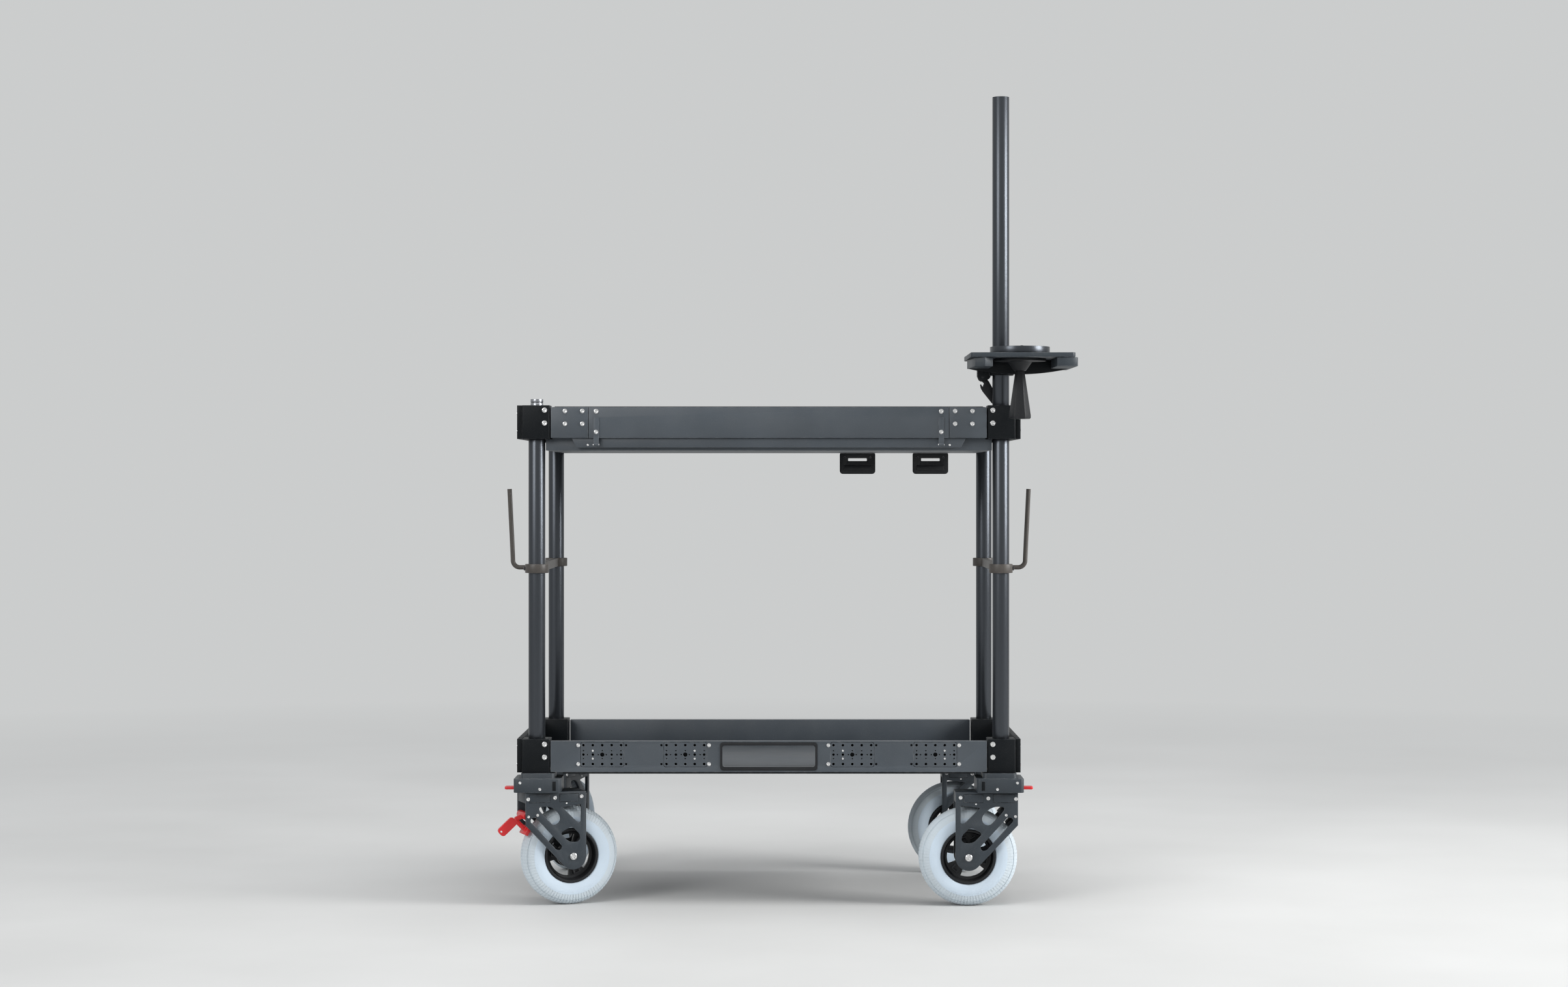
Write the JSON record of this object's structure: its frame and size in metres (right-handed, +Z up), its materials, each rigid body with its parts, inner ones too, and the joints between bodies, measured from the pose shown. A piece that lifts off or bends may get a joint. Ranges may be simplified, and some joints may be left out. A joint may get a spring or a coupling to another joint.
{
  "type": "camera cart",
  "caption": "Two-deck camera cart on large swivel casters, with accessory plates, a drop-front compartment, stand hooks and a mast that carries a camera platform.",
  "frame": {"origin": "middle of the lower deck's floor, on its top face", "axes": "+Z up, +X to the cart's right along its length, front face towards -Y"},
  "size_m": [1.151, 0.8387, 1.6366],
  "materials": {
    "rail_paint": "fine-textured slate grey powder coat",
    "block_paint": "satin near-black powder coat",
    "fork_paint": "satin charcoal powder coat",
    "anodised_tube": "black anodised tube with long reflections",
    "bright_steel": "bright turned steel",
    "hook_steel": "dark brown worn coating",
    "black_plastic": "satin black moulding",
    "tyre_rubber": "pale blue-grey rubber",
    "lever_red": "glossy red coating"
  },
  "bodies": {
    "chassis": {"lower_block_front_left": "block_paint", "lower_block_front_right": "block_paint", "lower_block_rear_left": "block_paint", "lower_block_rear_right": "block_paint", "upper_block_front_left": "block_paint", "upper_block_front_right": "block_paint", "upper_block_rear_left": "block_paint", "upper_block_rear_right": "block_paint", "lower_front_rail": "rail_paint", "lower_rear_rail": "rail_paint", "upper_front_rail": "rail_paint", "upper_rear_rail": "rail_paint", "lower_deck_tray": "rail_paint", "upper_deck_tray": "rail_paint", "accessory_plate_1": "rail_paint", "accessory_plate_2": "rail_paint", "accessory_plate_3": "rail_paint", "accessory_plate_4": "rail_paint", "hinge_rail": "fork_paint", "post_front_left": "anodised_tube", "post_front_right": "anodised_tube", "post_rear_left": "anodised_tube", "post_rear_right": "anodised_tube", "spigot_socket": "bright_steel", "webbing_loop_inner": "black_plastic", "webbing_loop_outer": "black_plastic", "side_hook_left": "hook_steel", "side_hook_right": "hook_steel", "caster_housing_front_left": "fork_paint", "caster_housing_front_right": "fork_paint", "caster_housing_rear_left": "fork_paint", "caster_housing_rear_right": "fork_paint"},
    "drop_front": {"drop_front": "rail_paint"},
    "mast": {"mast_tube": "anodised_tube"},
    "platform": {"camera_platform": "fork_paint", "mast_clamp": "fork_paint", "bowl_ring": "fork_paint"},
    "clamp_lever": {"clamp_lever": "black_plastic"},
    "tie_down": {"tie_down_handle": "black_plastic"},
    "swivel_front_left": {"caster_fork_front_left": "fork_paint", "axle_front_left": "bright_steel"},
    "swivel_front_right": {"caster_fork_front_right": "fork_paint", "axle_front_right": "bright_steel"},
    "swivel_rear_left": {"caster_fork_rear_left": "fork_paint", "axle_rear_left": "bright_steel"},
    "swivel_rear_right": {"caster_fork_rear_right": "fork_paint", "axle_rear_right": "bright_steel"},
    "wheel_front_left": {"wheel_rim_front_left": "black_plastic", "tyre_front_left": "tyre_rubber"},
    "wheel_front_right": {"wheel_rim_front_right": "black_plastic", "tyre_front_right": "tyre_rubber"},
    "wheel_rear_left": {"wheel_rim_rear_left": "black_plastic", "tyre_rear_left": "tyre_rubber"},
    "wheel_rear_right": {"wheel_rim_rear_right": "black_plastic", "tyre_rear_right": "tyre_rubber"},
    "lock_front_left": {"swivel_lock_front_left": "lever_red"},
    "lock_front_right": {"swivel_lock_front_right": "lever_red"},
    "lock_rear_left": {"swivel_lock_rear_left": "lever_red"},
    "lock_rear_right": {"swivel_lock_rear_right": "lever_red"},
    "brake": {"brake_pedal": "lever_red"}
  },
  "joints": [
    {"name": "swivel_turn_front_left", "type": "hinge", "parent": "chassis", "child": "swivel_front_left", "pos_m": [-0.466, -0.25, -0.0507], "axis": [0, 0, 1], "continuous": true},
    {"name": "swivel_turn_front_right", "type": "hinge", "parent": "chassis", "child": "swivel_front_right", "pos_m": [0.466, -0.25, -0.0507], "axis": [0, 0, 1], "continuous": true},
    {"name": "swivel_turn_rear_left", "type": "hinge", "parent": "chassis", "child": "swivel_rear_left", "pos_m": [-0.466, 0.25, -0.0507], "axis": [0, 0, 1], "continuous": true},
    {"name": "swivel_turn_rear_right", "type": "hinge", "parent": "chassis", "child": "swivel_rear_right", "pos_m": [0.466, 0.25, -0.0507], "axis": [0, 0, 1], "continuous": true},
    {"name": "wheel_spin_front_left", "type": "hinge", "parent": "swivel_front_left", "child": "wheel_front_left", "pos_m": [-0.4068, -0.22845, -0.1822], "axis": [-0.342, 0.9397, 0], "continuous": true},
    {"name": "wheel_spin_front_right", "type": "hinge", "parent": "swivel_front_right", "child": "wheel_front_right", "pos_m": [0.403, -0.25, -0.1822], "axis": [0, 1, 0], "continuous": true},
    {"name": "wheel_spin_rear_left", "type": "hinge", "parent": "swivel_rear_left", "child": "wheel_rear_left", "pos_m": [-0.44445, 0.3092, -0.1822], "axis": [-0.9397, 0.342, 0], "continuous": true},
    {"name": "wheel_spin_rear_right", "type": "hinge", "parent": "swivel_rear_right", "child": "wheel_rear_right", "pos_m": [0.403, 0.25, -0.1822], "axis": [0, 1, 0], "continuous": true},
    {"name": "lock_pull_front_left", "type": "slide", "parent": "chassis", "child": "lock_front_left", "axis": [-1, 0, 0], "range_m": [0, 0.006]},
    {"name": "lock_pull_front_right", "type": "slide", "parent": "chassis", "child": "lock_front_right", "axis": [1, 0, 0], "range_m": [0, 0.006]},
    {"name": "lock_pull_rear_left", "type": "slide", "parent": "chassis", "child": "lock_rear_left", "axis": [-1, 0, 0], "range_m": [0, 0.006]},
    {"name": "lock_pull_rear_right", "type": "slide", "parent": "chassis", "child": "lock_rear_right", "axis": [1, 0, 0], "range_m": [0, 0.006]},
    {"name": "brake_press", "type": "hinge", "parent": "swivel_front_left", "child": "brake", "pos_m": [-0.49526, -0.26065, -0.09888], "axis": [-0.342, 0.9397, 0], "range_deg": [-1.5, 12]},
    {"name": "drop_front_hinge", "type": "hinge", "parent": "chassis", "child": "drop_front", "pos_m": [0, -0.2796, 0.6504], "axis": [1, 0, 0], "range_deg": [0, 175]},
    {"name": "mast_turn", "type": "hinge", "parent": "chassis", "child": "mast", "pos_m": [0.47, -0.25, 0.69], "axis": [0, 0, 1], "range_deg": [-70, 115]},
    {"name": "platform_slide", "type": "slide", "parent": "mast", "child": "platform", "axis": [0, 0, 1], "range_m": [0, 0.48]},
    {"name": "clamp_lever_hinge", "type": "hinge", "parent": "platform", "child": "clamp_lever", "pos_m": [0.433, -0.25, 0.7877], "axis": [0, 1, 0], "range_deg": [0, 100]},
    {"name": "tie_down_turn", "type": "hinge", "parent": "platform", "child": "tie_down", "pos_m": [0.501, -0.345, 0.75], "axis": [0, 0, 1], "continuous": true}
  ]
}
